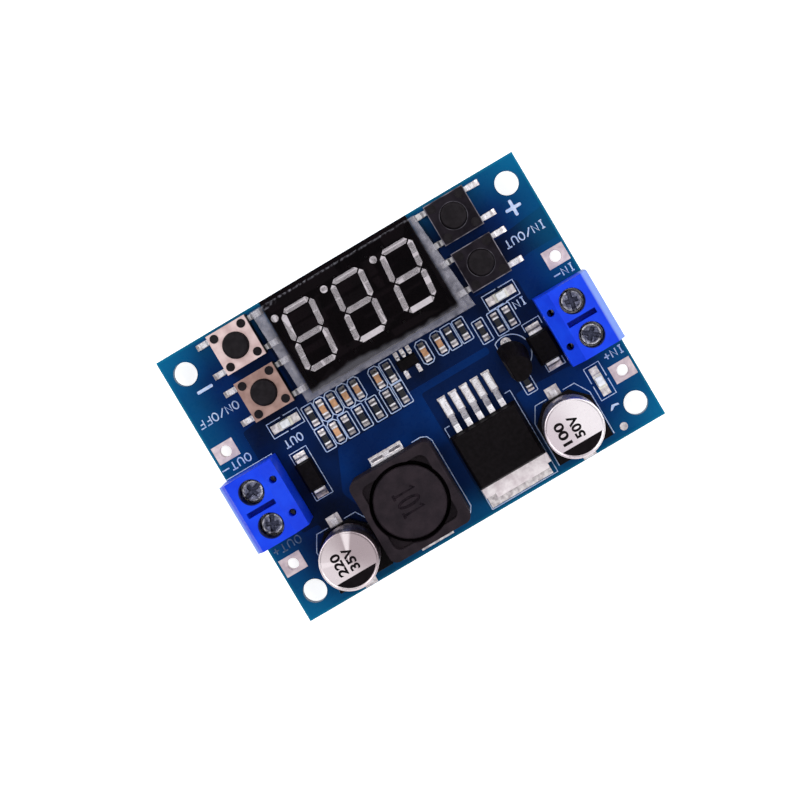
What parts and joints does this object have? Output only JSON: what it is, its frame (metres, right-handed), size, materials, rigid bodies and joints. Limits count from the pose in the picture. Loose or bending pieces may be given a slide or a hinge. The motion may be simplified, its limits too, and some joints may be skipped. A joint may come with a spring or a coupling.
{
  "type": "buck converter module",
  "caption": "Step-down power module: blue circuit board with screw terminals, power parts, push switches and a three-digit display.",
  "frame": {"origin": "centre of the four mounting holes on the board's underside", "axes": "+X towards the input terminal, +Y towards the display edge, +Z out of the component side"},
  "size_m": [0.0564, 0.041, 0.0138],
  "materials": {
    "board": "blue solder mask",
    "plating": "tinned",
    "solder": "solder",
    "case": "black display case",
    "segments": "grey segments",
    "film": "thin film",
    "black": "moulded black",
    "steel": "plated cover",
    "black_steel": "dark cover",
    "dome": "spring steel",
    "blue": "bright blue moulding",
    "screw": "zinc plated",
    "can": "satin sleeve",
    "ferrite": "dark ferrite",
    "copper": "enamelled copper",
    "package": "moulded package",
    "ceramic": "white ceramic",
    "lens": "pale lens",
    "tan": "tan ceramic"
  },
  "bodies": {
    "module": {"circuit_board": "board", "wire_pads": "plating", "solder_pads": "solder", "underside_solder": "solder", "display_case": "case", "display_segments": "segments", "display_pins": "plating", "display_film": "film", "minus_switch_base": "black", "minus_switch_cover": "steel", "on_off_switch_base": "black", "on_off_switch_cover": "steel", "plus_switch_base": "black", "plus_switch_cover": "black_steel", "in_out_switch_base": "black", "in_out_switch_cover": "black_steel", "switch_leads": "plating", "switch_domes": "dome", "output_terminal_housing": "blue", "input_terminal_housing": "blue", "terminal_contacts": "plating", "output_capacitor_can": "can", "input_capacitor_can": "can", "output_capacitor_base": "black", "input_capacitor_base": "black", "capacitor_leads": "plating", "inductor_shield": "ferrite", "inductor_core": "ferrite", "inductor_winding": "copper", "inductor_base": "black", "inductor_terminals": "plating", "regulator_body": "package", "regulator_tab": "plating", "regulator_leads": "plating", "small_regulator_body": "package", "small_regulator_leads": "plating", "output_diode_body": "package", "input_diode_body": "package", "diode_leads": "plating", "led_bodies": "ceramic", "led_lenses": "lens", "amplifier_body": "package", "amplifier_leads": "plating", "chip_resistor_bodies": "package", "chip_capacitor_bodies": "tan", "chip_ends": "plating", "microcontroller_body": "package", "microcontroller_leads": "plating"},
    "minus_push": {"minus_button": "black"},
    "on_off_push": {"on_off_button": "black"},
    "plus_push": {"plus_button": "black"},
    "in_out_push": {"in_out_button": "black"},
    "output_screw_a_part": {"output_screw_a": "screw"},
    "output_clamp_a_part": {"output_clamp_a": "plating"},
    "output_screw_b_part": {"output_screw_b": "screw"},
    "output_clamp_b_part": {"output_clamp_b": "plating"},
    "input_screw_a_part": {"input_screw_a": "screw"},
    "input_clamp_a_part": {"input_clamp_a": "plating"},
    "input_screw_b_part": {"input_screw_b": "screw"},
    "input_clamp_b_part": {"input_clamp_b": "plating"}
  },
  "joints": [
    {"name": "minus_press", "type": "slide", "parent": "module", "child": "minus_push", "axis": [0, 0, -1], "range_m": [0, 0.00025], "stiffness_N_per_m": 3000, "springref_m": -0.0001},
    {"name": "on_off_press", "type": "slide", "parent": "module", "child": "on_off_push", "axis": [0, 0, -1], "range_m": [0, 0.00025], "stiffness_N_per_m": 3000, "springref_m": -0.0001},
    {"name": "plus_press", "type": "slide", "parent": "module", "child": "plus_push", "axis": [0, 0, -1], "range_m": [0, 0.00025], "stiffness_N_per_m": 3000, "springref_m": -0.0001},
    {"name": "in_out_press", "type": "slide", "parent": "module", "child": "in_out_push", "axis": [0, 0, -1], "range_m": [0, 0.00025], "stiffness_N_per_m": 3000, "springref_m": -0.0001},
    {"name": "output_screw_a_turn", "type": "hinge", "parent": "module", "child": "output_screw_a_part", "pos_m": [-0.0245, -0.00581, 0.008], "axis": [0, 0, -1], "range_deg": [0, 1285]},
    {"name": "output_clamp_a_lift", "type": "slide", "parent": "module", "child": "output_clamp_a_part", "axis": [0, 0, 1], "range_m": [0, 0.0016]},
    {"name": "output_screw_b_turn", "type": "hinge", "parent": "module", "child": "output_screw_b_part", "pos_m": [-0.0245, -0.00073, 0.008], "axis": [0, 0, -1], "range_deg": [0, 1285]},
    {"name": "output_clamp_b_lift", "type": "slide", "parent": "module", "child": "output_clamp_b_part", "axis": [0, 0, 1], "range_m": [0, 0.0016]},
    {"name": "input_screw_a_turn", "type": "hinge", "parent": "module", "child": "input_screw_a_part", "pos_m": [0.0245, -0.00559, 0.008], "axis": [0, 0, -1], "range_deg": [0, 1285]},
    {"name": "input_clamp_a_lift", "type": "slide", "parent": "module", "child": "input_clamp_a_part", "axis": [0, 0, 1], "range_m": [0, 0.0016]},
    {"name": "input_screw_b_turn", "type": "hinge", "parent": "module", "child": "input_screw_b_part", "pos_m": [0.0245, -0.00051, 0.008], "axis": [0, 0, -1], "range_deg": [0, 1285]},
    {"name": "input_clamp_b_lift", "type": "slide", "parent": "module", "child": "input_clamp_b_part", "axis": [0, 0, 1], "range_m": [0, 0.0016]}
  ],
  "couplings": [
    {"joint": "output_screw_a_turn", "follows": "output_clamp_a_lift", "rad_per_m": 13963},
    {"joint": "output_screw_b_turn", "follows": "output_clamp_b_lift", "rad_per_m": 13963},
    {"joint": "input_screw_a_turn", "follows": "input_clamp_a_lift", "rad_per_m": 13963},
    {"joint": "input_screw_b_turn", "follows": "input_clamp_b_lift", "rad_per_m": 13963}
  ]
}
